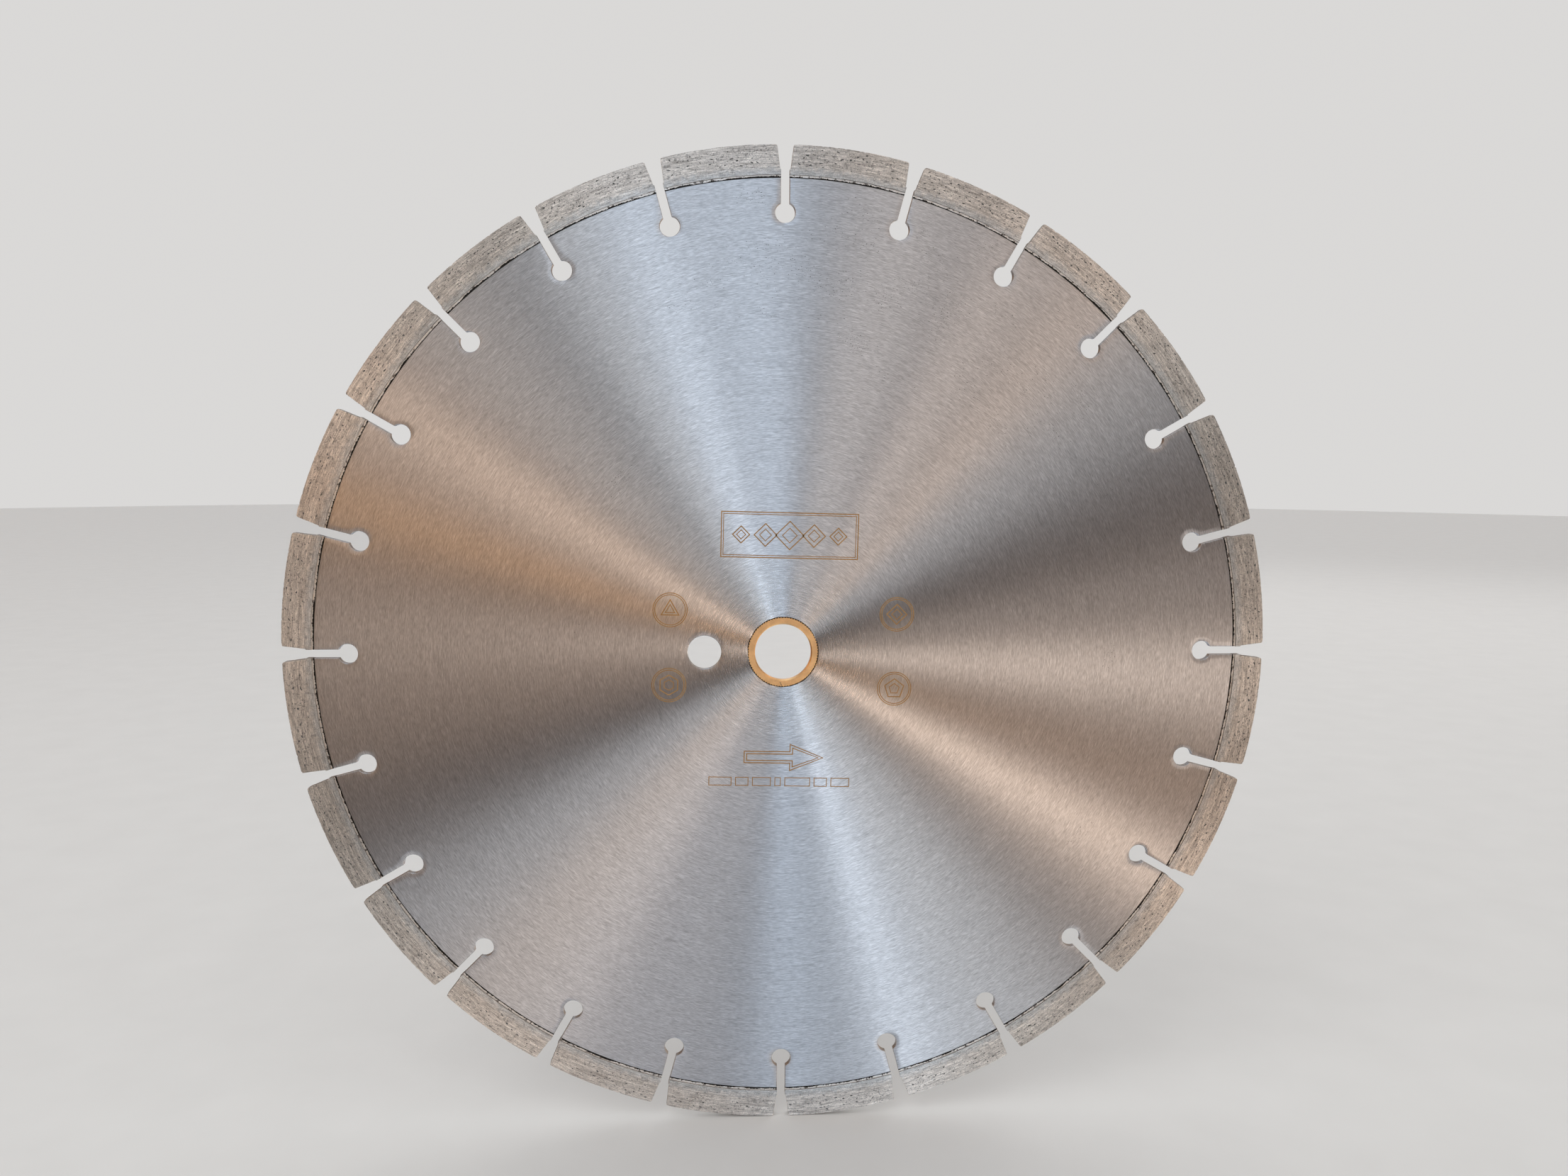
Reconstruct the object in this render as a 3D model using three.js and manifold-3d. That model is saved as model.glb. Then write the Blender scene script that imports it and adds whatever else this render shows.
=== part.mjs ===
// Laser-welded segmented diamond blade, 350 mm, with a reducing bush in its bore.
//
// Frame: millimetres, +Z up. The blade stands on its rim, its axis of rotation lies along Y and
// the face that carries the maker's marks looks towards -Y. The origin is the centre of the bore,
// halfway through the core's thickness.
//
// Every outline is drawn in a flat plane (x to the right, y up), extruded by its thickness about
// that plane, and stood upright by the outer group.

import * as THREE from 'three';
import { mergeVertices } from 'three/addons/utils/BufferGeometryUtils.js';
import Module from 'manifold-3d';

const wasm = await Module();
wasm.setup();

// Driving dimensions, in millimetres
const BLADE_DIAMETER = 350;
const SEGMENT_COUNT = 24;
const SEGMENT_HEIGHT = 11;
const SEGMENT_LENGTH = 40;
const SEGMENT_THICKNESS = 3.2;
const FOOT_HEIGHT = 2.8;
const CORE_THICKNESS = 2.4;
const CORE_BORE_DIAMETER = 25.4;
const ARBOR_BORE_DIAMETER = 20;
const PIN_HOLE_DIAMETER = 12;
const PIN_HOLE_OFFSET = 28;
const GULLET_SLOT_WIDTH = 3;
const GULLET_HOLE_DIAMETER = 7;
const GULLET_HOLE_CENTRE = 152.5;
const WELD_WIDTH = 0.6;
const WELD_CROWN = 0.1;
const SOLID_GAP = 0.3;
const BUSH_THICKNESS = 2.2;
const BUSH_CLEARANCE = 0.05;
const BUSH_CHAMFER = 0.2;
const KNURL_TEETH = 81;
const KNURL_DEPTH = 0.35;

// Straight steps that stand for each round stretch
const LAND_STEPS = 6;
const RIM_STEPS = 8;
const GULLET_HOLE_STEPS = 14;
const CORE_BORE_STEPS = 96;
const PIN_HOLE_STEPS = 36;

// Radii and angles that follow from them
const RIM_RADIUS = BLADE_DIAMETER / 2;
const CORE_RADIUS = RIM_RADIUS - SEGMENT_HEIGHT;
const CORE_BORE_RADIUS = CORE_BORE_DIAMETER / 2;
const ARBOR_BORE_RADIUS = ARBOR_BORE_DIAMETER / 2;
const WELD_INNER_RADIUS = CORE_RADIUS + SOLID_GAP;
const WELD_OUTER_RADIUS = WELD_INNER_RADIUS + WELD_WIDTH;
const SEGMENT_INNER_RADIUS = WELD_OUTER_RADIUS + SOLID_GAP;
const FOOT_TOP_RADIUS = CORE_RADIUS + FOOT_HEIGHT;
const PITCH_ANGLE = (2 * Math.PI) / SEGMENT_COUNT;
const STRAIGHT_UP = Math.PI / 2;

const coreSteel = new THREE.MeshStandardMaterial({ color: 0x9a9691, roughness: 0.38, metalness: 1 });
const sinteredBond = new THREE.MeshStandardMaterial({ color: 0x8f8478, roughness: 0.75, metalness: 0.7 });
const weldMetal = new THREE.MeshStandardMaterial({ color: 0xd8d2c4, roughness: 0.35, metalness: 1 });
const bushBrass = new THREE.MeshStandardMaterial({ color: 0xd9a961, roughness: 0.35, metalness: 1 });

function polar(radius, angle) {
  return new THREE.Vector2(radius * Math.cos(angle), radius * Math.sin(angle));
}

function arc(centre, radius, startAngle, endAngle, steps) {
  const points = [];
  for (let step = 0; step <= steps; step += 1) {
    const angle = startAngle + ((endAngle - startAngle) * step) / steps;
    points.push(polar(radius, angle).add(centre));
  }
  return points;
}

function circle(centre, radius, steps) {
  const points = arc(centre, radius, 0, 2 * Math.PI, steps);
  points.pop();
  return points;
}

// A solid from a flat outline with holes, centred on the plane of the outline
function plate(outline, holes, thickness) {
  const shape = new THREE.Shape(outline);
  shape.holes = holes.map((hole) => new THREE.Path(hole));
  const geometry = new THREE.ExtrudeGeometry(shape, { depth: thickness, bevelEnabled: false });
  geometry.translate(0, 0, -thickness / 2);
  return geometry;
}

// Half the angle that a slot of constant width takes away from a land at this radius
function slotHalfAngle(radius) {
  return Math.asin(GULLET_SLOT_WIDTH / 2 / radius);
}

// The arc between two neighbouring slots, about the vertical through the middle of the land
function landArc(radius, steps) {
  const halfAngle = PITCH_ANGLE / 2 - slotHalfAngle(radius);
  return arc(new THREE.Vector2(), radius, STRAIGHT_UP + halfAngle, STRAIGHT_UP - halfAngle, steps);
}

// One keyhole gullet, centred on the vertical: down one side of the slot, round the hole and up
function gulletOutline() {
  const holeRadius = GULLET_HOLE_DIAMETER / 2;
  const mouthHalfAngle = Math.asin(GULLET_SLOT_WIDTH / GULLET_HOLE_DIAMETER);
  const centre = new THREE.Vector2(0, GULLET_HOLE_CENTRE);
  const startAngle = STRAIGHT_UP + mouthHalfAngle;
  const endAngle = STRAIGHT_UP - mouthHalfAngle + 2 * Math.PI;
  return arc(centre, holeRadius, startAngle, endAngle, GULLET_HOLE_STEPS);
}

// The steel disc: 24 lands with a keyhole gullet after each, the bore and the driving-pin hole
function coreGeometry() {
  const outline = [];
  const origin = new THREE.Vector2();
  for (let index = 0; index < SEGMENT_COUNT; index += 1) {
    const landAngle = -(index + 0.5) * PITCH_ANGLE;
    const gulletAngle = -(index + 1) * PITCH_ANGLE;
    for (const point of landArc(CORE_RADIUS, LAND_STEPS)) {
      outline.push(point.rotateAround(origin, landAngle));
    }
    for (const point of gulletOutline()) {
      outline.push(point.rotateAround(origin, gulletAngle));
    }
  }
  const bore = circle(origin, CORE_BORE_RADIUS, CORE_BORE_STEPS);
  const pinHole = circle(new THREE.Vector2(-PIN_HOLE_OFFSET, 0), PIN_HOLE_DIAMETER / 2, PIN_HOLE_STEPS);
  return plate(outline, [bore, pinHole], CORE_THICKNESS);
}

// The bead left by the laser between the core's land and the foot of a segment
function weldSeamGeometry() {
  const outer = landArc(WELD_OUTER_RADIUS, LAND_STEPS);
  const inner = landArc(WELD_INNER_RADIUS, LAND_STEPS).reverse();
  return plate([...outer, ...inner], [], CORE_THICKNESS + 2 * WELD_CROWN);
}

// A segment: a foot as wide as the land, and the diamond layer above it with parallel ends
function segmentGeometry() {
  const halfLength = SEGMENT_LENGTH / 2;
  const rimHalfAngle = Math.asin(halfLength / RIM_RADIUS);
  const footTopHalfAngle = Math.asin(halfLength / FOOT_TOP_RADIUS);
  const footShoulderHalfAngle = PITCH_ANGLE / 2 - slotHalfAngle(FOOT_TOP_RADIUS);
  const rim = arc(
    new THREE.Vector2(),
    RIM_RADIUS,
    STRAIGHT_UP + rimHalfAngle,
    STRAIGHT_UP - rimHalfAngle,
    RIM_STEPS,
  );
  const outline = [
    ...rim,
    polar(FOOT_TOP_RADIUS, STRAIGHT_UP - footTopHalfAngle),
    polar(FOOT_TOP_RADIUS, STRAIGHT_UP - footShoulderHalfAngle),
    ...landArc(SEGMENT_INNER_RADIUS, LAND_STEPS).reverse(),
    polar(FOOT_TOP_RADIUS, STRAIGHT_UP + footShoulderHalfAngle),
    polar(FOOT_TOP_RADIUS, STRAIGHT_UP + footTopHalfAngle),
  ];
  return plate(outline, [], SEGMENT_THICKNESS);
}

function toManifold(geometry) {
  const bare = geometry.clone();
  bare.deleteAttribute('normal');
  bare.deleteAttribute('uv');
  const merged = mergeVertices(bare);
  return new wasm.Manifold(
    new wasm.Mesh({
      numProp: 3,
      vertProperties: merged.attributes.position.array,
      triVerts: new Uint32Array(merged.index.array),
    }),
  );
}

function toGeometry(solid) {
  const mesh = solid.getMesh();
  const geometry = new THREE.BufferGeometry();
  geometry.setAttribute('position', new THREE.BufferAttribute(mesh.vertProperties, 3));
  geometry.setIndex(new THREE.BufferAttribute(mesh.triVerts, 1));
  geometry.computeVertexNormals();
  return geometry;
}

// The knurled outline of the bush: a flat crest and a V-shaped groove for each tooth
function knurlOutline() {
  const crestRadius = CORE_BORE_RADIUS - BUSH_CLEARANCE;
  const toothAngle = (2 * Math.PI) / KNURL_TEETH;
  const points = [];
  for (let tooth = 0; tooth < KNURL_TEETH; tooth += 1) {
    const angle = tooth * toothAngle;
    points.push(polar(crestRadius, angle - toothAngle / 4));
    points.push(polar(crestRadius, angle + toothAngle / 4));
    points.push(polar(crestRadius - KNURL_DEPTH, angle + toothAngle / 2));
  }
  return points;
}

// The bush: a ring turned with a chamfer at each end of its bore, then knurled on the outside
function bushGeometry() {
  const half = BUSH_THICKNESS / 2;
  const knurled = plate(knurlOutline(), [], BUSH_THICKNESS);
  const overrun = 1;
  const boreCutter = new THREE.LatheGeometry(
    [
      new THREE.Vector2(0, -half - overrun),
      new THREE.Vector2(ARBOR_BORE_RADIUS + BUSH_CHAMFER + overrun, -half - overrun),
      new THREE.Vector2(ARBOR_BORE_RADIUS, -half + BUSH_CHAMFER),
      new THREE.Vector2(ARBOR_BORE_RADIUS, half - BUSH_CHAMFER),
      new THREE.Vector2(ARBOR_BORE_RADIUS + BUSH_CHAMFER + overrun, half + overrun),
      new THREE.Vector2(0, half + overrun),
    ],
    KNURL_TEETH,
  );
  boreCutter.rotateX(Math.PI / 2);
  return toGeometry(toManifold(knurled).subtract(toManifold(boreCutter)));
}

function piece(name, geometry, material) {
  const mesh = new THREE.Mesh(geometry, material);
  mesh.name = name;
  return mesh;
}

function numbered(name, index) {
  return `${name}_${String(index + 1).padStart(2, '0')}`;
}

const blade = new THREE.Group();
blade.rotation.x = Math.PI / 2;
blade.add(piece('core', coreGeometry(), coreSteel));
blade.add(piece('reducing_bush', bushGeometry(), bushBrass));

// Segments and their seams are numbered clockwise from the top, as seen from the marked face
for (let index = 0; index < SEGMENT_COUNT; index += 1) {
  const station = new THREE.Group();
  station.rotation.z = -(index + 0.5) * PITCH_ANGLE;
  station.add(piece(numbered('weld_seam', index), weldSeamGeometry(), weldMetal));
  station.add(piece(numbered('segment', index), segmentGeometry(), sinteredBond));
  blade.add(station);
}

export default blade;
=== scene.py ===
"""Looks of a 350 mm segmented diamond blade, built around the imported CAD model.

Metres, in the model's own frame: the axis of rotation lies along Y, the marked face looks towards -Y and
+Z is up. Outlines are drawn flat, as (x, z) points in millimetres, and turned into metres in one place.
"""

import math
import random

import bmesh
import bpy
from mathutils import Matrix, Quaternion, Vector
from mathutils.geometry import delaunay_2d_cdt


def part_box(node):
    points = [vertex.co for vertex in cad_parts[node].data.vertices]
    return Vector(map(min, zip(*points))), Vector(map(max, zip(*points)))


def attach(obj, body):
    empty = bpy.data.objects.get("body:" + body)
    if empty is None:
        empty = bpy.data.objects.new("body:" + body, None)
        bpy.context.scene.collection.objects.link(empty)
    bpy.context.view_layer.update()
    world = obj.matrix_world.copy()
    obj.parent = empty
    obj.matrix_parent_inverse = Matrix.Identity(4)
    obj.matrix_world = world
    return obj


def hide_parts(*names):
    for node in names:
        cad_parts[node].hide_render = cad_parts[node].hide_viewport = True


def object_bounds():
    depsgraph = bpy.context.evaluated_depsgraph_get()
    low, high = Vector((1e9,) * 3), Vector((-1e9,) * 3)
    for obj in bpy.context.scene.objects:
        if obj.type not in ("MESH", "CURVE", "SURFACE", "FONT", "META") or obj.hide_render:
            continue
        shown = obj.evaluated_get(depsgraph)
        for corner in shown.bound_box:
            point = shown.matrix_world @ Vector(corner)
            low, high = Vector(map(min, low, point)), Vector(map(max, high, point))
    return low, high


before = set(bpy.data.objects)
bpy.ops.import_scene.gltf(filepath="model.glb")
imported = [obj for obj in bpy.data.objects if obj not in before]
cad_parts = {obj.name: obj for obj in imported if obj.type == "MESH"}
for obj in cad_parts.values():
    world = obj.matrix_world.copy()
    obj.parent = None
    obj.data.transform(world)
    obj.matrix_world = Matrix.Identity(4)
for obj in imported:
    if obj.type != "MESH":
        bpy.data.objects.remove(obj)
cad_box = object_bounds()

MM = 0.001
TAU = 2 * math.pi


def radius_range(node):
    """Smallest and largest distance of a CAD node's vertices from the axis, in millimetres."""
    radii = [math.hypot(v.co.x, v.co.z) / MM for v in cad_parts[node].data.vertices]
    return min(radii), max(radii)


def half_thickness(node):
    low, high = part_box(node)
    return (high.y - low.y) / 2 / MM


# Sizes in millimetres. What the frame knows is read from it; the rest repeats the design.
SEGMENT_COUNT = 24
PITCH = TAU / SEGMENT_COUNT
CORE_BORE, CORE_RADIUS = radius_range("core")
SEGMENT_INNER, RIM_RADIUS = radius_range("segment_01")
CORE_HALF = half_thickness("core")
SEGMENT_HALF = half_thickness("segment_01")
WELD_HALF = half_thickness("weld_seam_01")
BUSH_HALF = half_thickness("reducing_bush")
BUSH_BORE, BUSH_RADIUS = radius_range("reducing_bush")
SEGMENT_LENGTH = 40.0
FOOT_TOP = CORE_RADIUS + 2.8
FOOT_INNER = SEGMENT_INNER - 0.25
SLOT_WIDTH = 3.0
GULLET_RADIUS = 3.5
GULLET_CENTRE = 152.5
PIN_HOLE_RADIUS = 6.0
PIN_HOLE_PLACE = (-28.0, 0.0)
KNURL_TEETH = 81
KNURL_DEPTH = 0.3
KNURL_LENGTH = 0.6

# An offset corner reaches no further than a mitre of this sharpness
SHARPEST_MITRE = 0.4
# Faces that meet at more than this angle are shaded apart
SHARP_EDGE = math.radians(16)
# Vertices of a piece closer than this, in metres, are one
SAME_PLACE = 1e-7
# A ragged outline: how many sides, how far they lie from its size
BLOB_SIDES = (9, 12)
BLOB_REACH = (0.45, 1.3)
# The share of a pit's outline that its floor keeps
PIT_FLOOR = 0.7
# The bands, in metres, within which strokes on ground metal keep one length
RING_WIDTH = 0.004
# Between these values lies most of what a noise node gives
NOISE_RANGE = (0.3, 0.7)

# The order in which the faces of a plate take their materials
FACE, WALL, PIT = 0, 1, 2


# ---------------------------------------------------------------- outlines, in millimetres


def polar(radius, angle):
    """A point at a clockwise angle from the top, as seen from the marked face."""
    return (radius * math.sin(angle), radius * math.cos(angle))


def turn(point, angle):
    """A point turned clockwise about the axis."""
    x, z = point
    return (x * math.cos(angle) + z * math.sin(angle), z * math.cos(angle) - x * math.sin(angle))


def arc(radius, start, end, steps, centre=(0.0, 0.0)):
    points = []
    for step in range(steps + 1):
        x, z = polar(radius, start + (end - start) * step / steps)
        points.append((x + centre[0], z + centre[1]))
    return points


def circle(radius, steps, centre=(0.0, 0.0)):
    return arc(radius, 0, TAU, steps, centre)[:-1]


def core_outline(inset):
    """The core's rim, clockwise: a land, then a keyhole gullet, 24 times over."""
    half_slot = SLOT_WIDTH / 2 + inset
    hole = GULLET_RADIUS + inset
    land = CORE_RADIUS - inset
    slot_angle = math.asin(half_slot / land)
    mouth = math.asin(half_slot / hole)
    points = []
    for index in range(SEGMENT_COUNT):
        points += arc(land, index * PITCH + slot_angle, (index + 1) * PITCH - slot_angle, 30)
        gullet = arc(hole, TAU - mouth, mouth, 26, (0.0, GULLET_CENTRE))
        points += [turn(point, (index + 1) * PITCH) for point in gullet]
    return points


def offset(outline, distance):
    """A closed clockwise outline moved inwards, its corners mitred."""
    moved = []
    count = len(outline)
    for index, point in enumerate(outline):
        here = Vector(point)
        arriving = (here - Vector(outline[index - 1])).normalized()
        leaving = (Vector(outline[(index + 1) % count]) - here).normalized()
        turned = Vector((arriving.y + leaving.y, -arriving.x - leaving.x))
        mitre = turned / max(1 + arriving.dot(leaving), SHARPEST_MITRE)
        moved.append(tuple(here + mitre * distance))
    return moved


def blob(rng, centre, size, stretch, lean):
    """A small ragged outline, clockwise, longer along its leaning direction."""
    sides = rng.randint(*BLOB_SIDES)
    points = []
    for side in range(sides):
        angle = TAU * side / sides
        reach = size * rng.uniform(*BLOB_REACH)
        x, z = turn((reach * stretch * math.sin(angle), reach / stretch * math.cos(angle)), lean)
        points.append((centre[0] + x, centre[1] + z))
    return points


# ---------------------------------------------------------------- meshes


def new_piece(name, mesh_builder, materials, body, nodes=()):
    """A named mesh object that rides on a body and stands for the CAD nodes that it replaces."""
    mesh = bpy.data.meshes.new(name)
    bmesh.ops.remove_doubles(mesh_builder, verts=mesh_builder.verts, dist=SAME_PLACE)
    bmesh.ops.recalc_face_normals(mesh_builder, faces=mesh_builder.faces)
    mesh_builder.to_mesh(mesh)
    mesh_builder.free()
    for polygon in mesh.polygons:
        polygon.use_smooth = True
    mesh.set_sharp_from_angle(angle=SHARP_EDGE)
    for material in materials:
        mesh.materials.append(material)
    piece = bpy.data.objects.new(name, mesh)
    bpy.context.scene.collection.objects.link(piece)
    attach(piece, body)
    if nodes:
        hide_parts(*nodes)
    return piece


def place(x, y, z):
    """A point in millimetres, in metres."""
    return (x * MM, y * MM, z * MM)


def bridge(builder, rings, material):
    """Quads between closed rings of vertices that follow each other."""
    for lower, upper in zip(rings, rings[1:]):
        count = len(lower)
        for index in range(count):
            after = (index + 1) % count
            face = builder.faces.new((lower[index], lower[after], upper[after], upper[index]))
            face.material_index = material


def cap(builder, rings, y, pits, depth):
    """A flat face inside the first outline, around the others, with ragged pits sunk into it."""
    loops = rings + pits
    points = [Vector(point) for loop in loops for point in loop]
    areas = []
    for loop in loops:
        start = sum(len(area) for area in areas)
        areas.append(list(range(start + len(loop) - 1, start - 1, -1)))
    inside_outlines = 1
    tolerance = 1e-5
    flat, _, triangles, _, _, owners = delaunay_2d_cdt(points, [], areas, inside_outlines, tolerance)
    vertices = [builder.verts.new(place(point.x, y, point.y)) for point in flat]
    for triangle, owner in zip(triangles, owners):
        if list(owner) == [0]:
            builder.faces.new([vertices[index] for index in triangle]).material_index = FACE
    inwards = -math.copysign(depth, y)
    for pit in pits:
        centre_x = sum(x for x, _ in pit) / len(pit)
        centre_z = sum(z for _, z in pit) / len(pit)
        rim = [builder.verts.new(place(x, y, z)) for x, z in pit]
        floor = []
        for x, z in pit:
            floor.append(builder.verts.new(place(
                centre_x + (x - centre_x) * PIT_FLOOR, y + inwards, centre_z + (z - centre_z) * PIT_FLOOR
            )))
        bridge(builder, [rim, floor], PIT)
        builder.faces.new(floor).material_index = PIT


def plate(contours, layers, front_pits, back_pits, pit_depth):
    """A plate whose every contour is a function of its inset and y; layers go from front to back."""
    builder = bmesh.new()
    for contour in contours:
        rings = []
        for inset, y in layers:
            rings.append([builder.verts.new(place(x, y, z)) for x, z in contour(inset, y)])
        for lower, upper, (inset, _), (next_inset, _) in zip(rings, rings[1:], layers, layers[1:]):
            bridge(builder, [lower, upper], WALL if inset == next_inset else FACE)
    first_inset, front = layers[0]
    last_inset, back = layers[-1]
    cap(builder, [contour(first_inset, front) for contour in contours], front, front_pits, pit_depth)
    cap(builder, [contour(last_inset, back) for contour in contours], back, back_pits, pit_depth)
    return builder


# ---------------------------------------------------------------- materials


def colour(red, green, blue):
    return (red, green, blue, 1.0)


class Nodes:
    """A node tree that grows by short calls. A value is a number, a colour or another node's output."""

    def __init__(self, tree):
        self.tree = tree

    def feed(self, socket, value):
        if isinstance(value, bpy.types.NodeSocket):
            self.tree.links.new(value, socket)
        else:
            socket.default_value = value

    def node(self, kind, *inputs, **settings):
        node = self.tree.nodes.new(kind)
        for key, value in settings.items():
            setattr(node, key, value)
        for socket, value in zip(node.inputs, inputs):
            self.feed(socket, value)
        return node

    def add(self, kind, *inputs, **settings):
        return self.node(kind, *inputs, **settings).outputs[0]

    def math(self, operation, *values):
        return self.add("ShaderNodeMath", *values, operation=operation)

    def vector(self, operation, *values):
        return self.node("ShaderNodeVectorMath", *values, operation=operation).outputs

    def spread(self, value, low, high, to_low, to_high):
        return self.add("ShaderNodeMapRange", value, low, high, to_low, to_high)

    def vary(self, noise, to_low, to_high):
        """Noise spread from where it is low to where it is high."""
        return self.spread(noise, *NOISE_RANGE, to_low, to_high)

    def mix(self, factor, first, second, blend="MIX"):
        node = self.node("ShaderNodeMix", data_type="RGBA", blend_type=blend)
        factor_socket, first_socket, second_socket = (node.inputs[index] for index in (0, 6, 7))
        self.feed(factor_socket, factor)
        self.feed(first_socket, first)
        self.feed(second_socket, second)
        return node.outputs[2]


class Shader(Nodes):
    """A material for a surface of the blade."""

    def __init__(self, name):
        self.material = bpy.data.materials.new(name)
        self.material.use_nodes = True
        super().__init__(self.material.node_tree)
        self.surface = self.tree.nodes["Principled BSDF"]

    def set(self, **values):
        for key, value in values.items():
            self.feed(self.surface.inputs[key.replace("_", " ")], value)

    def grey(self, level):
        return self.add("ShaderNodeCombineXYZ", level, level, level)

    def coordinates(self):
        """The place on the piece, in metres."""
        return self.node("ShaderNodeTexCoord").outputs["Object"]

    def position(self):
        """The same, split into x, y and z."""
        return self.node("ShaderNodeSeparateXYZ", self.coordinates()).outputs

    def radius(self):
        """The distance from the axis, in metres."""
        x, _, z = self.position()
        return self.math("SQRT", self.math("ADD", self.math("MULTIPLY", x, x), self.math("MULTIPLY", z, z)))

    def noise(self, vector, scale, detail=2.0, roughness=0.5):
        node = self.node("ShaderNodeTexNoise")
        self.feed(node.inputs["Vector"], vector)
        node.inputs["Scale"].default_value = scale
        node.inputs["Detail"].default_value = detail
        node.inputs["Roughness"].default_value = roughness
        return node.outputs["Fac"]

    def scratches(self, length, width, detail=3.0):
        """Noise drawn out along circles about the axis: strokes of this length and width, in metres."""
        x, y, z = self.position()
        radius = self.radius()
        ring = self.math("SNAP", radius, RING_WIDTH)
        turns = self.math("DIVIDE", ring, self.math("MULTIPLY", radius, length))
        across = self.math("ADD", self.math("DIVIDE", radius, width), self.math("DIVIDE", y, width * 3))
        vector = self.add(
            "ShaderNodeCombineXYZ", self.math("MULTIPLY", x, turns), self.math("MULTIPLY", z, turns), across
        )
        return self.noise(vector, 1.0, detail, 0.6)

    def bump(self, height, strength, distance):
        node = self.node("ShaderNodeBump")
        self.feed(node.inputs["Height"], height)
        node.inputs["Strength"].default_value = strength
        node.inputs["Distance"].default_value = distance
        self.set(Normal=node.outputs[0])

    def grind_in_circles(self, strength):
        """Reflections drawn out along the radius, as fine circular strokes do."""
        x, _, z = self.position()
        outwards = self.add(
            "ShaderNodeVectorTransform",
            self.add("ShaderNodeCombineXYZ", x, 0.0, z),
            vector_type="VECTOR",
            convert_from="OBJECT",
            convert_to="WORLD",
        )
        self.surface.inputs["Anisotropic"].default_value = strength
        self.set(Tangent=outwards)


def ground_steel():
    """Steel ground in circles: an anisotropic sheen that fans out from the bore, and fine strokes."""
    shader = Shader("ground_steel")
    fine = shader.scratches(0.0022, 0.00017)
    broad = shader.scratches(0.012, 0.0008, 2.0)
    shade = shader.spread(fine, 0.33, 0.67, 0.73, 1.27)
    drift = shader.vary(broad, 0.93, 1.07)
    level = shader.math("MULTIPLY", shade, drift)
    base = shader.mix(1.0, colour(0.55, 0.55, 0.55), shader.grey(level), "MULTIPLY")
    polish = shader.spread(shader.radius(), CORE_BORE * MM, CORE_RADIUS * MM, 0.27, 0.37)
    roughness = shader.math("ADD", polish, shader.vary(fine, 0.015, -0.015))
    shader.set(Base_Color=base, Metallic=1.0, Roughness=roughness)
    shader.grind_in_circles(1.0)
    shader.bump(fine, 0.25, 0.00002)
    return shader.material


def cut_steel():
    """The wall left by laser cutting: dull, with fine lines across the thickness."""
    shader = Shader("cut_steel")
    x, y, z = shader.position()
    vector = shader.add("ShaderNodeCombineXYZ", x, shader.math("MULTIPLY", y, 0.08), z)
    lines = shader.noise(vector, 5200.0, 2.0)
    base = shader.mix(lines, colour(0.20, 0.185, 0.17), colour(0.42, 0.39, 0.36))
    shader.set(Base_Color=base, Metallic=1.0, Roughness=shader.vary(lines, 0.55, 0.38))
    shader.bump(lines, 0.3, 0.00003)
    return shader.material


def pit_painted_shade():
    """The bottom of a pore or of the socket of a lost grain, painted near black to dark grey: painted shade
    in the hollow.
    """
    shader = Shader("pit_painted_shade")
    grain = shader.noise(shader.coordinates(), 9000.0, 3.0)
    base = shader.mix(grain, colour(0.06, 0.06, 0.057), colour(0.21, 0.21, 0.20))
    shader.set(Base_Color=base, Metallic=0.2, Roughness=shader.vary(grain, 0.8, 0.5))
    return shader.material


def sintered_bond():
    """Ground bond of a segment: tan above, greyer in the foot, drawn out by grinding, with grit."""
    shader = Shader("sintered_bond")
    strokes = shader.scratches(0.0032, 0.00024)
    broad = shader.scratches(0.015, 0.0010, 2.0)
    coordinates = shader.coordinates()
    mottle = shader.noise(coordinates, 620.0, 4.0, 0.65)
    grit = shader.noise(coordinates, 2400.0, 2.0)
    blur = 1.2
    border = shader.math("ADD", shader.radius(), shader.vary(mottle, -blur * MM, blur * MM))
    above = shader.spread(border, (FOOT_TOP - blur) * MM, (FOOT_TOP + blur) * MM, 0.0, 1.0)
    streaks = shader.vary(broad, 0.0, 1.0)
    tan = shader.mix(streaks, colour(0.51, 0.46, 0.41), colour(0.77, 0.71, 0.64))
    foot = shader.mix(mottle, colour(0.46, 0.45, 0.43), colour(0.67, 0.655, 0.63))
    smudge = shader.spread(shader.noise(coordinates, 850.0, 3.0, 0.7), 0.56, 0.66, 1.0, 0.62)
    smudged = shader.math("MAXIMUM", smudge, shader.spread(above, 0.0, 1.0, 0.9, 0.0))
    ground = shader.spread(strokes, 0.33, 0.67, 0.66, 1.34)
    shade = shader.math("MULTIPLY", ground, shader.vary(grit, 0.80, 1.16))
    shade = shader.math("MULTIPLY", shade, smudged)
    base = shader.mix(1.0, shader.mix(above, foot, tan), shader.grey(shade), "MULTIPLY")
    shader.set(Base_Color=base, Metallic=0.7, Roughness=shader.vary(strokes, 0.50, 0.38))
    shader.grind_in_circles(1.0)
    shader.bump(shader.math("ADD", strokes, shader.math("MULTIPLY", grit, 0.5)), 0.15, 0.00005)
    return shader.material


def raw_bond():
    """The unground skin on the rim and ends of a segment."""
    shader = Shader("raw_bond")
    mottle = shader.noise(shader.coordinates(), 1400.0, 5.0, 0.7)
    base = shader.mix(mottle, colour(0.16, 0.14, 0.12), colour(0.44, 0.39, 0.34))
    shader.set(Base_Color=base, Metallic=0.6, Roughness=shader.vary(mottle, 0.8, 0.5))
    shader.bump(mottle, 0.5, 0.00008)
    return shader.material


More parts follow.
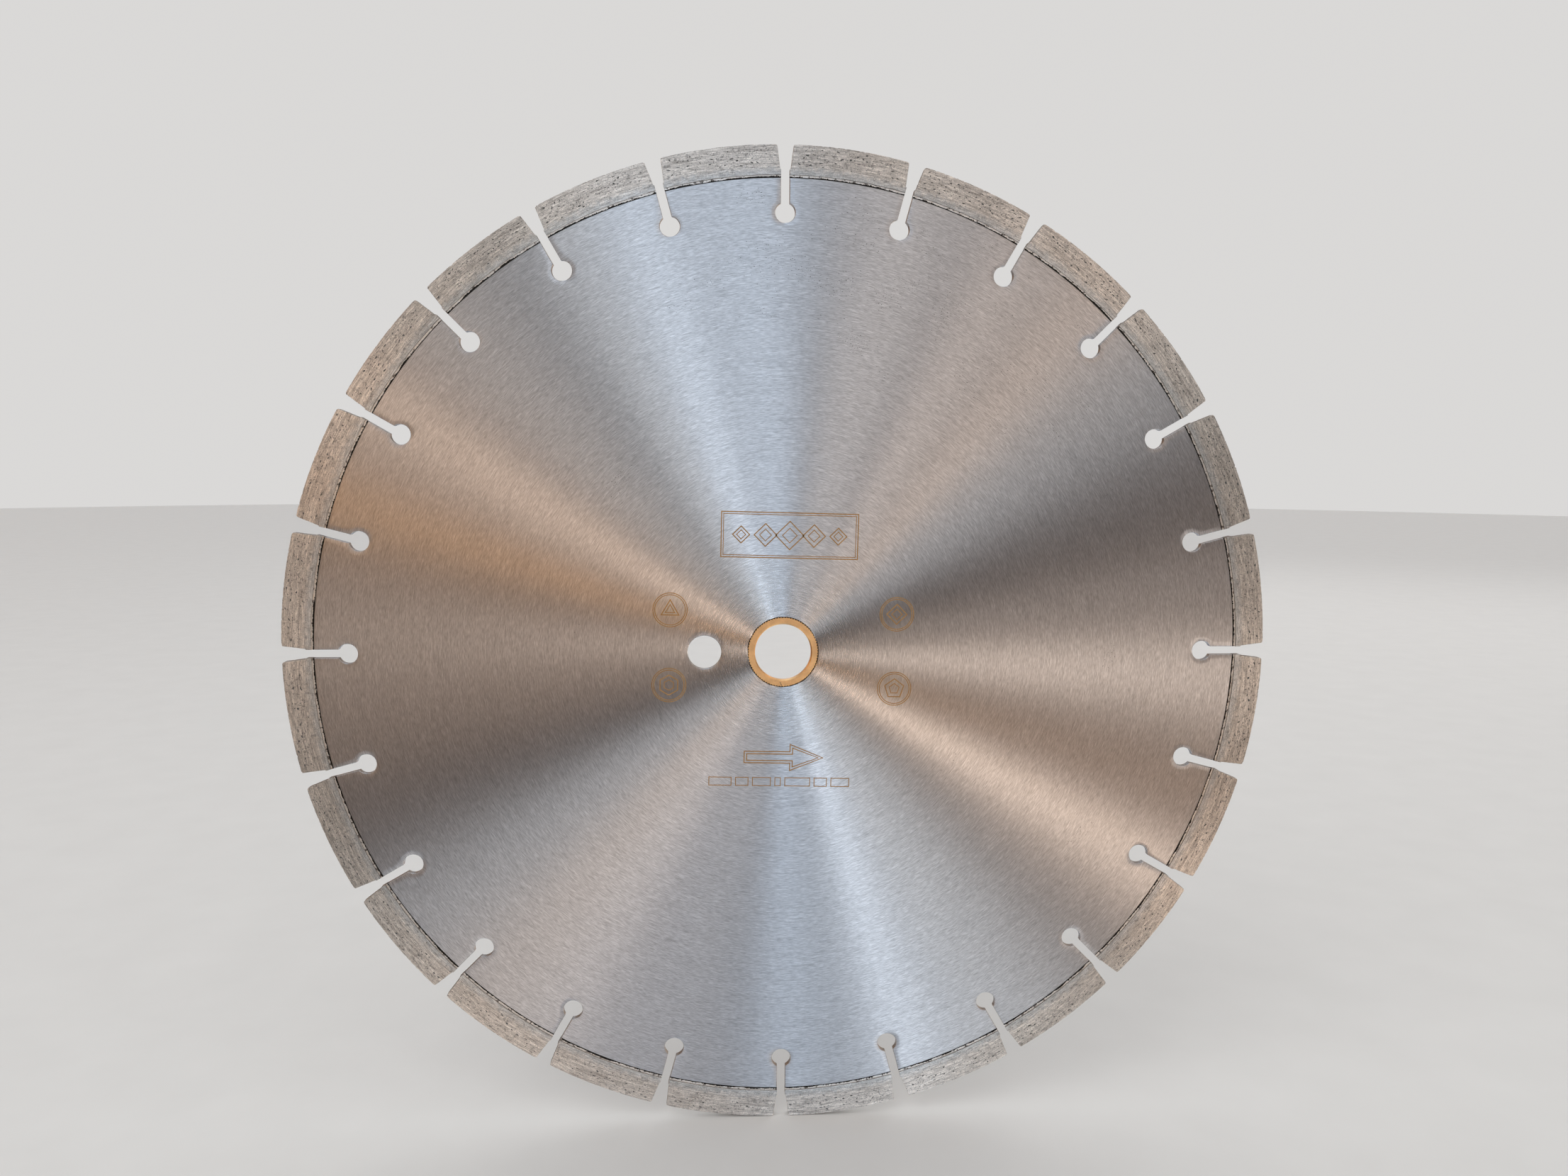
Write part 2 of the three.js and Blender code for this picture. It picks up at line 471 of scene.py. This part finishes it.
def weld_metal():
    """A laser bead: the floor of the groove beside it painted near black, as painted shade; its crown painted
    pale cream, lighter than the core's steel, as painted highlight, with dull spots of spatter.
    """
    shader = Shader("weld_metal")
    coordinates = shader.coordinates()
    spatter = shader.noise(coordinates, 1500.0, 3.0, 0.6)
    spots = shader.spread(shader.noise(coordinates, 700.0, 3.0), 0.56, 0.62, 0.0, 1.0)
    _, y, _ = shader.position()
    depth = shader.math("ABSOLUTE", y)
    # Painted shade: deep in the groove, below the core's face, the weld is painted near black
    clear = shader.spread(depth, (CORE_HALF - 0.16) * MM, (CORE_HALF - 0.04) * MM, 0.0, 1.0)
    # Painted highlight: the crown is painted a pale cream, lighter than the core's steel, mottled by spatter
    crown_painted_highlight = shader.mix(spatter, colour(0.66, 0.63, 0.58), colour(0.95, 0.92, 0.86))
    dull = colour(0.22, 0.20, 0.18)
    groove_painted_shade = colour(0.03, 0.028, 0.025)
    base = shader.mix(clear, groove_painted_shade, shader.mix(spots, crown_painted_highlight, dull))
    shader.set(Base_Color=base, Metallic=0.95, Roughness=shader.vary(spatter, 0.5, 0.35))
    shader.grind_in_circles(0.9)
    shader.bump(spatter, 0.3, 0.00004)
    return shader.material


def turned_brass():
    """Brass turned in the lathe: fine circles, a faint tarnish, and painted shade for the grooves of the
    knurl, near black over the whole outer wall short of the faces.
    """
    shader = Shader("turned_brass")
    fine = shader.scratches(0.003, 0.00009)
    tarnish = shader.noise(shader.coordinates(), 260.0, 4.0, 0.6)
    patches = shader.spread(tarnish, 0.35, 0.7, 0.0, 1.0)
    tone = shader.mix(patches, colour(0.93, 0.58, 0.27), colour(0.70, 0.42, 0.20))
    _, y, _ = shader.position()
    # Painted shade: all of the outer wall beyond the roots of the knurl, teeth and band alike, is painted
    # near black, except close to the faces
    outer = shader.math("GREATER_THAN", shader.radius(), (BUSH_RADIUS - KNURL_DEPTH - 0.04) * MM)
    sunk = shader.math("LESS_THAN", shader.math("ABSOLUTE", y), (BUSH_HALF - 0.06) * MM)
    knurl_painted_shade = colour(0.03, 0.022, 0.014)
    tone = shader.mix(shader.math("MULTIPLY", outer, sunk), tone, knurl_painted_shade)
    shade = shader.vary(fine, 0.9, 1.08)
    base = shader.mix(1.0, tone, shader.grey(shade), "MULTIPLY")
    shader.set(Base_Color=base, Metallic=1.0, Roughness=shader.vary(tarnish, 0.30, 0.44))
    shader.bump(fine, 0.1, 0.00002)
    return shader.material


def annealed_line():
    """The copper-brown film that a marking laser leaves on steel, crossed by the strokes."""
    shader = Shader("annealed_line")
    strokes = shader.scratches(0.0022, 0.00016)
    patches = shader.noise(shader.coordinates(), 420.0, 3.0)
    tone = shader.mix(patches, colour(0.27, 0.145, 0.045), colour(0.50, 0.30, 0.11))
    shade = shader.vary(strokes, 0.8, 1.2)
    base = shader.mix(1.0, tone, shader.grey(shade), "MULTIPLY")
    shader.set(Base_Color=base, Metallic=0.5, Roughness=shader.vary(patches, 0.4, 0.55))
    return shader.material


# ---------------------------------------------------------------- pieces

# Sizes in millimetres. A pit lies along the strokes of grinding, give or take this many radians
PIT_LEAN = 0.35
# No pit of the core comes nearer to an edge, or to its rim, than this
CORE_MARGIN = 3
CORE_RIM_MARGIN = 2
# The stretch that holds most of the core's pits: middle and spread, as a radius and as degrees of clock angle
WORN_SHARE = 0.85
WORN_RADIUS = (132, 13)
WORN_CLOCK = (20, 18)
# How often a pit is tried on each face, and its least size, what the largest have more, and its stretch
CORE_FRONT_TRIES = 2600
CORE_BACK_TRIES = 700
CORE_PIT_LEAST = 0.06
CORE_PIT_MORE = 0.13
CORE_PIT_STRETCH = (1.1, 1.9)
CORE_PIT_DEPTH = 0.08
# How the core's faces run out into its edges: inwards from the outline, down from the face
CORE_ROUNDING = [(1.9, 0.0), (1.6, 0.0), (1.1, 0.012), (0.6, 0.04), (0.14, 0.075), (0.0, 0.19)]

# A segment's rim: its corners are worn, it is rough all along, and here and there a chip is gone
WORN_CORNER = 0.8
CORNER_DROP = 0.35
RIM_ROUGHNESS = 0.04
CHIP_SHARE = 0.05
CHIP_DEPTH = (0.08, 0.22)
# Its ends: rough, and the left one not quite the right one's mirror image
END_ROUGHNESS = 0.03
END_SHIFT = 0.04
SEGMENT_CHAMFER = 0.08
# A segment's pores: least size, what the largest have more, stretch and depth
PORE_LEAST = 0.11
PORE_MORE = 0.32
PORE_STRETCH = (1.2, 2.0)
PORE_DEPTH = 0.22
# No pore of a segment comes nearer to its ends, to its rim or to its foot than this
END_MARGIN = 1.0
RIM_MARGIN = 0.9
FOOT_MARGIN = 0.8
# Where round the blade the segments are coarsest, as a clock angle in radians
COARSEST_CLOCK = 0.3

# The groove between the core and the weld's bead, dark with painted shade: how wide, and how far its floor
# lies below the face
GROOVE_WIDTH = 0.38
GROOVE_DEPTH = 0.2
# A notch widens the groove here and there
NOTCH_SHARE = 0.06
NOTCH = 0.3
# The bead is nowhere narrower than this
BEAD_LEAST = 0.2
# The corner between the bead's crown and its sides
BEAD_CORNER = 0.08
BEAD_DROP = 0.05
# How much of the last ripple and of the last swell of the bead each step keeps
RIPPLE_MEMORY = 0.65
SWELL_MEMORY = 0.93
# How far ripple and swell move the bead's edge, and how far ripple moves its crown
RIPPLE_ASIDE = 0.16
SWELL_ASIDE = 1.2
RIPPLE_UP = 0.035
# Pieces that would otherwise share a surface stay this far apart
GAP = 0.01

# The bush's knurl: shares of a tooth's pitch that lie on its top and in the groove beside it
TOOTH_TOP = (0.0, 0.18, 0.36, 0.54)
TOOTH_GROOVE = (0.64, 0.77, 0.9)
# Between these clock angles, in degrees, the knurl is battered
BATTERED = (118, 176)
BATTERED_WEAR = 0.22
# Gouges in the bush's face: clock angle in degrees, radius, size, stretch
GOUGES = [(185, 11.1, 0.22, 2.0), (183, 11.75, 0.26, 1.7), (176, 11.9, 0.16, 2.3)]
GOUGE_DEPTH = 0.1
GOUGE_LEAN = math.radians(45)
# How the bush's faces run out into its edges, and how much wider the chamfer is in its bore
BUSH_EDGE = [(0.1, 0.0), (0.0, 0.25), (0.0, KNURL_LENGTH - 0.05), (0.0, KNURL_LENGTH + 0.05)]
BORE_CHAMFER = 4


def scatter(rng, count, draw, spacing):
    """Ragged pits kept apart from each other; draw gives a centre, a size and a stretch, or None."""
    pits = []
    taken = []
    for _ in range(count):
        drawn = draw()
        if drawn is None:
            continue
        centre, size, stretch = drawn
        reach = size * stretch * BLOB_REACH[1] + spacing
        if any(math.dist(centre, other) < reach + far for other, far in taken):
            continue
        taken.append((centre, reach))
        lean = math.atan2(centre[0], centre[1]) + rng.gauss(0, PIT_LEAN)
        pits.append(blob(rng, centre, size, stretch, lean))
    return pits


def clustered(rng, pick, fresh, spread):
    """Radii and clock angles in clusters: pick starts a cluster, now and then, and the rest fall round it."""
    middle = [0.0, 0.0]

    def draw():
        if rng.random() < fresh or not middle[0]:
            middle[:] = pick()
        radius = middle[0] + rng.gauss(0, spread)
        return radius, middle[1] + rng.gauss(0, 2 * spread) / radius

    return draw


def both_faces(half, edge):
    """The layers of a plate from front to back, given how each of its faces runs out into the edge."""
    layers = [(inset, -half + drop) for inset, drop in edge]
    return layers + [(inset, half - drop) for inset, drop in reversed(edge)]


def core_piece(steel, wall, pit):
    """The steel disc: keyhole gullets, bore and driving-pin hole, and pits in clusters."""
    rng = random.Random(11)

    def clear_of_edges(x, z):
        radius = math.hypot(x, z)
        clock = math.atan2(x, z) % PITCH
        off_gullet = min(clock, PITCH - clock) * radius
        if radius < CORE_BORE + CORE_MARGIN or radius > CORE_RADIUS - CORE_RIM_MARGIN:
            return False
        if radius > GULLET_CENTRE - GULLET_RADIUS - CORE_MARGIN and off_gullet < GULLET_RADIUS + CORE_MARGIN:
            return False
        return math.dist((x, z), PIN_HOLE_PLACE) > PIN_HOLE_RADIUS + CORE_MARGIN

    def pick():
        if rng.random() < WORN_SHARE:
            return rng.gauss(*WORN_RADIUS), math.radians(rng.gauss(*WORN_CLOCK))
        return max(CORE_BORE, CORE_RADIUS * math.sqrt(rng.random())), rng.uniform(0, TAU)

    where = clustered(rng, pick, fresh=0.05, spread=1.6)

    def draw():
        x, z = polar(*where())
        if not clear_of_edges(x, z):
            return None
        size = CORE_PIT_LEAST + CORE_PIT_MORE * rng.random() ** 2
        stretch = rng.uniform(*CORE_PIT_STRETCH)
        return (x, z), size, stretch

    contours = [
        lambda inset, y: core_outline(inset),
        lambda inset, y: circle(CORE_BORE + inset, 160),
        lambda inset, y: circle(PIN_HOLE_RADIUS + inset, 90, PIN_HOLE_PLACE),
    ]
    fronts = scatter(rng, CORE_FRONT_TRIES, draw, spacing=0.03)
    backs = scatter(rng, CORE_BACK_TRIES, draw, spacing=0.03)
    builder = plate(contours, both_faces(CORE_HALF, CORE_ROUNDING), fronts, backs, CORE_PIT_DEPTH)
    return new_piece("steel_core", builder, [steel, wall, pit], "blade", ["core"])


def segment_outline(rng):
    """One segment about the vertical, clockwise: ragged rim, straight ends, foot as wide as the land."""
    half = SEGMENT_LENGTH / 2
    rim_angle = math.asin(half / RIM_RADIUS)
    foot_angle = PITCH / 2 - math.asin(SLOT_WIDTH / 2 / FOOT_TOP)
    inner_angle = PITCH / 2 - math.asin(SLOT_WIDTH / 2 / FOOT_INNER)
    shoulder = math.sqrt(FOOT_TOP ** 2 - half ** 2)
    rim = []
    rim_steps = 110
    for step in range(rim_steps + 1):
        share = step / rim_steps
        from_end = min(share, 1 - share) * SEGMENT_LENGTH
        rounding = CORNER_DROP * max(0.0, 1 - from_end / WORN_CORNER) ** 2
        dent = abs(rng.gauss(0, RIM_ROUGHNESS))
        chip = rng.uniform(*CHIP_DEPTH) if rng.random() < CHIP_SHARE else 0.0
        rim.append(polar(RIM_RADIUS - rounding - (dent + chip), -rim_angle + 2 * rim_angle * share))
    top = rim[-1][1]
    end_steps = 14
    right = []
    for step in range(1, end_steps):
        dent = abs(rng.gauss(0, END_ROUGHNESS))
        right.append((half - dent, top + (shoulder - top) * step / end_steps))
    right.append((half, shoulder))
    right.append(polar(FOOT_TOP, foot_angle))
    left = [(-x + rng.uniform(0, END_SHIFT), z) for x, z in reversed(right)]
    inner = arc(FOOT_INNER, inner_angle, -inner_angle, 60)
    return rim + right + inner + left


def segment_piece(index, bond, raw, pit):
    """A sintered segment, its diamond layer full of pores in clusters: the coarser, the more of them."""
    rng = random.Random(200 + index)
    middle = (index + 0.5) * PITCH
    base = [turn(point, middle) for point in segment_outline(rng)]
    coarseness = (0.55 + 0.45 * math.cos(middle - COARSEST_CLOCK)) * rng.uniform(0.6, 1.15)
    half = SEGMENT_LENGTH / 2 - END_MARGIN

    def pick():
        across = rng.uniform(-half, half)
        return rng.triangular(FOOT_TOP + 0.9, RIM_RADIUS - 1, RIM_RADIUS - 2), middle + across / RIM_RADIUS

    where = clustered(rng, pick, fresh=0.3, spread=0.6)

    def draw():
        radius, clock = where()
        x, z = polar(radius, clock)
        off_middle = abs(turn((x, z), -middle)[0])
        if off_middle > half or not FOOT_TOP + FOOT_MARGIN < radius < RIM_RADIUS - RIM_MARGIN:
            return None
        size = PORE_LEAST + PORE_MORE * rng.random() ** 2.2
        stretch = rng.uniform(*PORE_STRETCH)
        return (x, z), size, stretch

    count = int(140 + 300 * coarseness)
    edge = [(SEGMENT_CHAMFER, 0.0), (0.0, SEGMENT_CHAMFER)]
    fronts = scatter(rng, count, draw, spacing=0.02)
    backs = scatter(rng, count, draw, spacing=0.02)
    outline = [lambda inset, y: offset(base, inset)]
    builder = plate(outline, both_faces(SEGMENT_HALF, edge), fronts, backs, PORE_DEPTH)
    number = f"{index + 1:02d}"
    name = f"diamond_segment_{number}"
    return new_piece(name, builder, [bond, raw, pit], "blade", [f"segment_{number}"])


def weld_piece(index, metal):
    """A groove against the core, its floor dark with painted shade, then a rippled bead against the foot of
    the segment.
    """
    rng = random.Random(500 + index)
    builder = bmesh.new()
    rings = []
    steps = 200
    ripple = 0.0
    swell = 0.0
    inner = CORE_RADIUS + GAP
    outer = FOOT_INNER - GAP
    floor = CORE_HALF - GROOVE_DEPTH
    for step in range(steps + 1):
        ripple = RIPPLE_MEMORY * ripple + (1 - RIPPLE_MEMORY) * rng.uniform(-1, 1)
        swell = SWELL_MEMORY * swell + (1 - SWELL_MEMORY) * rng.uniform(-1, 1)
        notch = NOTCH if rng.random() < NOTCH_SHARE else 0.0
        groove = CORE_RADIUS + GROOVE_WIDTH + RIPPLE_ASIDE * ripple + SWELL_ASIDE * swell + notch
        groove = min(max(groove, CORE_RADIUS + 3 * BEAD_CORNER), FOOT_INNER - BEAD_LEAST)
        height = WELD_HALF - 4 * GAP + RIPPLE_UP * ripple
        profile = [
            (inner, floor),
            (groove - BEAD_CORNER, floor),
            (groove, height - BEAD_DROP),
            (groove + BEAD_CORNER, height),
            (FOOT_INNER - BEAD_CORNER, height),
            (outer, height - BEAD_DROP),
        ]
        section = [(radius, -y) for radius, y in profile] + profile[::-1]
        ring = []
        for radius, y in section:
            reach = PITCH / 2 - math.asin(SLOT_WIDTH / 2 / radius)
            x, z = polar(radius, (index + 0.5) * PITCH - reach + 2 * reach * step / steps)
            ring.append(builder.verts.new(place(x, y, z)))
        rings.append(ring)
    bridge(builder, rings, FACE)
    builder.faces.new(rings[0])
    builder.faces.new(rings[-1])
    number = f"{index + 1:02d}"
    return new_piece(f"weld_bead_{number}", builder, [metal], "blade", [f"weld_seam_{number}"])


def bush_piece(brass, pit):
    """The reducing bush: a knurl at each face, a chamfered bore, a battered stretch at the bottom right."""
    rng = random.Random(7)
    tooth = TAU / KNURL_TEETH
    top = BUSH_RADIUS - 2 * GAP
    knurl = []
    band = []
    for index in range(KNURL_TEETH):
        start = index * tooth
        battered = BATTERED[0] < math.degrees(start) < BATTERED[1]
        wear = rng.uniform(0.0, BATTERED_WEAR) if battered else 0.0
        groove = BUSH_RADIUS - KNURL_DEPTH * rng.uniform(0.85, 1.0)
        for share in TOOTH_TOP:
            knurl.append(polar(top - wear, start + share * tooth))
        for share in TOOTH_GROOVE:
            knurl.append(polar(groove, start + share * tooth))
        for share in TOOTH_TOP + TOOTH_GROOVE:
            band.append(polar(top, start + share * tooth))

    def outside(inset, y):
        return offset(knurl, inset) if abs(y) > BUSH_HALF - KNURL_LENGTH else band

    contours = [outside, lambda inset, y: circle(BUSH_BORE + BORE_CHAMFER * inset, 160)]
    gouges = []
    for clock, radius, size, stretch in GOUGES:
        gouges.append(blob(rng, polar(radius, math.radians(clock)), size, stretch, GOUGE_LEAN))
    builder = plate(contours, both_faces(BUSH_HALF, BUSH_EDGE), gouges, [], GOUGE_DEPTH)
    return new_piece("bush_ring", builder, [brass, brass, pit], "bush", ["reducing_bush"])


# ---------------------------------------------------------------- marks

# The marks are printed a little askew. Their lines stand this far out of the face and reach as far into it
MARK_TILT = math.radians(1.25)
MARK_PROUD = 0.02
MARK_LINE = 0.38
THIN_LINE = 0.8 * MARK_LINE
# Places and sizes in millimetres, x to the right and z up
FRAME_MIDDLE = (1.3, 41.7)
FRAME_SIZE = (48.4, 16.0)
FRAME_STEP = 0.75
# The lozenges side by side in the frame, the middle one the largest
LOZENGE_PITCH = 8.6
LOZENGE_REACH = 5.0
INNER_LOZENGE_REACH = 2.6
RING_RADII = (6.05, 5.4)
FIGURE_REACH = 3.6
INNER_FIGURE_REACH = 1.9
# The middle of each ring and how many sides its figure has
RINGS = [((-40.4, 14.4), 3), ((-40.4, -12.6), 6), ((40.4, 14.4), 4), ((40.4, -12.6), 5)]
ARROW_AXIS = -38.4
BARS_START = -25.5
BARS_MIDDLE = -47.4
BARS_HEIGHT = 3.0
BARS_GAP = 1.6
BAR_WIDTHS = (8.0, 4.5, 6.5, 2.0, 9.0, 4.5, 6.5)


def line_loop(builder, outline, width=MARK_LINE):
    """A closed line of this width on the front face, following a clockwise outline."""
    tilted = [turn(point, MARK_TILT) for point in outline]
    outer = offset(tilted, -width / 2)
    inner = offset(tilted, width / 2)
    top = -CORE_HALF - MARK_PROUD
    bottom = -CORE_HALF + MARK_PROUD
    rings = []
    for loop, y in ((outer, bottom), (outer, top), (inner, top), (inner, bottom)):
        rings.append([builder.verts.new(place(x, y, z)) for x, z in loop])
    bridge(builder, rings + [rings[0]], FACE)


def rectangle(x, z, width, height):
    left, right = x - width / 2, x + width / 2
    low, high = z - height / 2, z + height / 2
    return [(left, high), (right, high), (right, low), (left, low)]


def mark_piece(name, builder, line):
    return new_piece(name, builder, [line], "blade")


def plate_mark(line):
    """A double frame with a plain lozenge pattern in it."""
    builder = bmesh.new()
    x, z = FRAME_MIDDLE
    width, height = FRAME_SIZE
    line_loop(builder, rectangle(x, z, width, height))
    line_loop(builder, rectangle(x, z, width - 2 * FRAME_STEP, height - 2 * FRAME_STEP), 0.7 * MARK_LINE)
    for step in range(-2, 3):
        middle = (x + step * LOZENGE_PITCH, z)
        outer = LOZENGE_REACH - abs(step)
        inner = INNER_LOZENGE_REACH - 0.5 * abs(step)
        line_loop(builder, circle(outer, 4, middle))
        line_loop(builder, circle(inner, 4, middle), THIN_LINE)
    return mark_piece("mark_frame", builder, line)


def ring_marks(line):
    """Four double rings with a plain figure in each."""
    builder = bmesh.new()
    for middle, sides in RINGS:
        for radius in RING_RADII:
            line_loop(builder, circle(radius, 64, middle), THIN_LINE)
        line_loop(builder, circle(FIGURE_REACH, sides, middle))
        line_loop(builder, circle(INNER_FIGURE_REACH, sides, middle), THIN_LINE)
    return mark_piece("mark_rings", builder, line)


def arrow_mark(line):
    """The arrow that gives the direction of rotation, drawn twice, one inside the other."""
    builder = bmesh.new()
    tail = -13.0
    neck = 3.5
    tip = 15.4
    shaft = 2.1
    barb = 4.8
    arrow = [
        (tail, ARROW_AXIS + shaft),
        (neck, ARROW_AXIS + shaft),
        (neck, ARROW_AXIS + barb),
        (tip, ARROW_AXIS),
        (neck, ARROW_AXIS - barb),
        (neck, ARROW_AXIS - shaft),
        (tail, ARROW_AXIS - shaft),
    ]
    line_loop(builder, arrow)
    line_loop(builder, offset(arrow, 0.9))
    return mark_piece("mark_arrow", builder, line)


def bar_marks(line):
    """A row of plain bars where a maker would put the blade's sizes."""
    builder = bmesh.new()
    x = BARS_START
    for width in BAR_WIDTHS:
        line_loop(builder, rectangle(x + width / 2, BARS_MIDDLE, width, BARS_HEIGHT), THIN_LINE)
        x += width + BARS_GAP
    return mark_piece("mark_bars", builder, line)


# ---------------------------------------------------------------- studio

FLOOR_RADIUS = 6.0

# What the camera sees behind the floor, what lights matt surfaces, and the dimmest of what metal reflects
ROOM_SEEN = colour(0.70, 0.69, 0.68)
ROOM_LIGHT = colour(0.78, 0.78, 0.78)
ROOM_DIM = colour(0.02, 0.01, 0.01)

# The line that the sheets of light stand round, from straight along the axis of the blade
SHEET_LEAN = math.radians(-9.4)
SHEET_SWING = math.radians(-3.1)
# Sheets of soft light round that line: clock angle of the middle and half the angle over which it fades
# to nothing, both in degrees, warmth and strength
SHEETS = [
    (357, 5, -1.0, 1.75),
    (17, 5, 0.25, 1.2),
    (33, 2, 0.5, 1.7),
    (45, 2, 0.75, 1.6),
    (56, 6, -0.25, 0.55),
    (84, 2, 0.25, 0.8),
    (97, 3, 0.4, 2.9),
    (123, 2, 0.5, 4.6),
    (149, 6, -0.25, 1.25),
    (163, 2, -0.75, 3.6),
    (179, 2, -1.25, 1.9),
    (200, 9, -1.25, 0.55),
    (214, 6, 0.25, 1.1),
    (230, 5, -0.5, 0.85),
    (262, 9, 1.0, 0.25),
    (286, 1, 1.25, 3.2),
    (300, 2, 0.75, 2.0),
    (313, 4, 0.25, 0.8),
    (332, 2, -0.25, 1.2),
    (342, 3, -1.0, 2.3),
]

# What light lacks in red, green and blue when it is as warm, or as cold, as 1
WARM_LIGHT_LACKS = (0.0, 0.42, 0.7)
COLD_LIGHT_LACKS = (0.28, 0.16, 0.0)

# Lamps, unseen in reflections: name, place in metres, size and power in watts
LAMPS = [
    ("key", (-0.9, -1.3, 1.7), 1.4, 9),
    ("rim", (1.2, 1.5, 1.4), 1.4, 6),
]

# Where the camera stands and looks, in metres, and its lens, in millimetres
CAMERA_AZIMUTH = math.radians(-3.12)
CAMERA_ELEVATION = math.radians(9.42)
CAMERA_DISTANCE = 0.4215
CAMERA_AIM = Vector((0.0003, 0.0, 0.0229))
CAMERA_ROLL = math.radians(0.29)
CAMERA_LENS = 27.0
CAMERA_SENSOR = 36.0
CAMERA_NEAREST = 0.01


def floor():
    """A pale floor under the rim."""
    builder = bmesh.new()
    bmesh.ops.create_circle(builder, cap_ends=True, radius=FLOOR_RADIUS, segments=96)
    mesh = bpy.data.meshes.new("floor")
    builder.to_mesh(mesh)
    builder.free()
    plane = bpy.data.objects.new("floor", mesh)
    plane.location.z = cad_box[0].z
    plane.visible_glossy = False
    bpy.context.scene.collection.objects.link(plane)
    shader = Shader("floor_paint")
    mottle = shader.noise(shader.coordinates(), 30.0, 3.0)
    paint = shader.mix(mottle, colour(0.68, 0.67, 0.655), colour(0.73, 0.72, 0.705))
    shader.set(Base_Color=paint, Roughness=0.7)
    mesh.materials.append(shader.material)


def light_colour(warmth):
    """Neutral at 0, through cream to amber at 1, and down to blue below 0."""
    lacks = WARM_LIGHT_LACKS if warmth >= 0 else COLD_LIGHT_LACKS
    return [1.0 - abs(warmth) * part for part in lacks]


def room():
    """The room: plain to the camera, and sheets of soft light round the axis to what is polished."""
    world = bpy.data.worlds.new("room")
    bpy.context.scene.world = world
    world.use_nodes = True
    nodes = Nodes(world.node_tree)
    turned = nodes.node("ShaderNodeVectorRotate", rotation_type="EULER_XYZ")
    turned.inputs["Rotation"].default_value = (SHEET_LEAN, 0.0, SHEET_SWING)
    nodes.feed(turned.inputs["Vector"], nodes.node("ShaderNodeTexCoord").outputs["Generated"])
    flat = nodes.vector("MULTIPLY", turned.outputs[0], (1, 0, 1))[0]
    outwards = nodes.vector("NORMALIZE", flat)[0]
    reflected = ROOM_DIM
    for clock, half_width, warmth, strength in SHEETS:
        x, z = polar(1.0, math.radians(clock))
        facing = nodes.vector("DOT_PRODUCT", outwards, (x, 0, z))["Value"]
        edge = math.cos(math.radians(2 * half_width))
        within = nodes.add("ShaderNodeMapRange", facing, edge, 1.0, interpolation_type="SMOOTHSTEP")
        light = colour(*(strength * part for part in light_colour(warmth)))
        reflected = nodes.mix(within, reflected, light, "ADD")
    path = nodes.node("ShaderNodeLightPath").outputs
    lit = nodes.mix(path["Is Glossy Ray"], ROOM_LIGHT, reflected)
    seen = nodes.mix(path["Is Camera Ray"], lit, ROOM_SEEN)
    nodes.feed(world.node_tree.nodes["Background"].inputs["Color"], seen)


def lights():
    """Square lamps that all face the blade."""
    for name, stand, size, power in LAMPS:
        light = bpy.data.lights.new(name, "AREA")
        light.size = size
        light.energy = power
        lamp = bpy.data.objects.new(name, light)
        lamp.location = stand
        lamp.rotation_mode = "QUATERNION"
        lamp.rotation_quaternion = (-Vector(stand)).to_track_quat("-Z", "Y")
        lamp.visible_camera = False
        lamp.visible_glossy = False
        bpy.context.scene.collection.objects.link(lamp)


def camera():
    """The view of the photograph: nearly straight on, a little from above."""
    data = bpy.data.cameras.new("camera")
    data.lens = CAMERA_LENS
    data.sensor_width = CAMERA_SENSOR
    data.clip_start = CAMERA_NEAREST
    view = bpy.data.objects.new("camera", data)
    flat = math.cos(CAMERA_ELEVATION)
    x = math.sin(CAMERA_AZIMUTH) * flat
    y = -math.cos(CAMERA_AZIMUTH) * flat
    z = math.sin(CAMERA_ELEVATION)
    view.location = CAMERA_DISTANCE * Vector((x, y, z))
    view.rotation_mode = "QUATERNION"
    aim = (CAMERA_AIM - view.location).to_track_quat("-Z", "Y")
    view.rotation_quaternion = aim @ Quaternion((0.0, 0.0, 1.0), CAMERA_ROLL)
    bpy.context.scene.collection.objects.link(view)
    bpy.context.scene.camera = view


def build():
    steel = ground_steel()
    wall = cut_steel()
    pit = pit_painted_shade()
    bond = sintered_bond()
    raw = raw_bond()
    metal = weld_metal()
    brass = turned_brass()
    line = annealed_line()
    core_piece(steel, wall, pit)
    for index in range(SEGMENT_COUNT):
        segment_piece(index, bond, raw, pit)
        weld_piece(index, metal)
    bush_piece(brass, pit)
    plate_mark(line)
    ring_marks(line)
    arrow_mark(line)
    bar_marks(line)


bpy.context.scene.view_settings.view_transform = "Standard"
camera()
floor()
room()
lights()
build()
